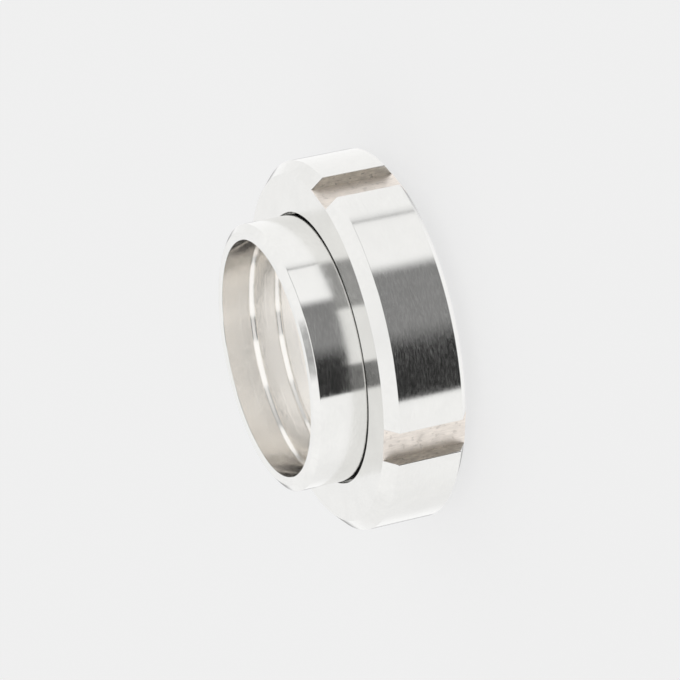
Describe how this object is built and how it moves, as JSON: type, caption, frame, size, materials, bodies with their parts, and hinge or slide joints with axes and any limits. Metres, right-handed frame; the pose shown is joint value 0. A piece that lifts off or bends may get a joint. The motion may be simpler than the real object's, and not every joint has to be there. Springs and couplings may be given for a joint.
{
  "type": "dairy union fitting",
  "caption": "Threaded pipe union for food plant: round slotted nut over a liner with a grooved tube socket, closing on a seal ring and a threaded male part.",
  "frame": {"origin": "centre of the male part's end face, which the fitting stands on", "axes": "+Z along the fitting's axis, from the male part to the liner's mouth; two of the nut's slots lie on the X axis and two on the Y axis"},
  "size_m": [0.1264, 0.1264, 0.0515],
  "materials": {
    "turned_steel": "fine turned, bright",
    "polished_steel": "polished over fine turning",
    "seal_rubber": "matt moulded"
  },
  "bodies": {
    "male": {"male_part": "turned_steel", "seal_ring": "seal_rubber"},
    "liner": {"liner": "polished_steel"},
    "nut": {"round_nut": "turned_steel"}
  },
  "joints": [
    {"name": "liner_lift", "type": "slide", "parent": "male", "child": "liner", "axis": [0, 0, 1], "range_m": [0, 0.0159]},
    {"name": "nut_spin", "type": "hinge", "parent": "liner", "child": "nut", "pos_m": [0, 0, 0.019], "axis": [0, 0, 1], "range_deg": [0, 900]}
  ],
  "couplings": [
    {"joint": "liner_lift", "follows": "nut_spin", "m_per_rad": 0.0010106}
  ]
}
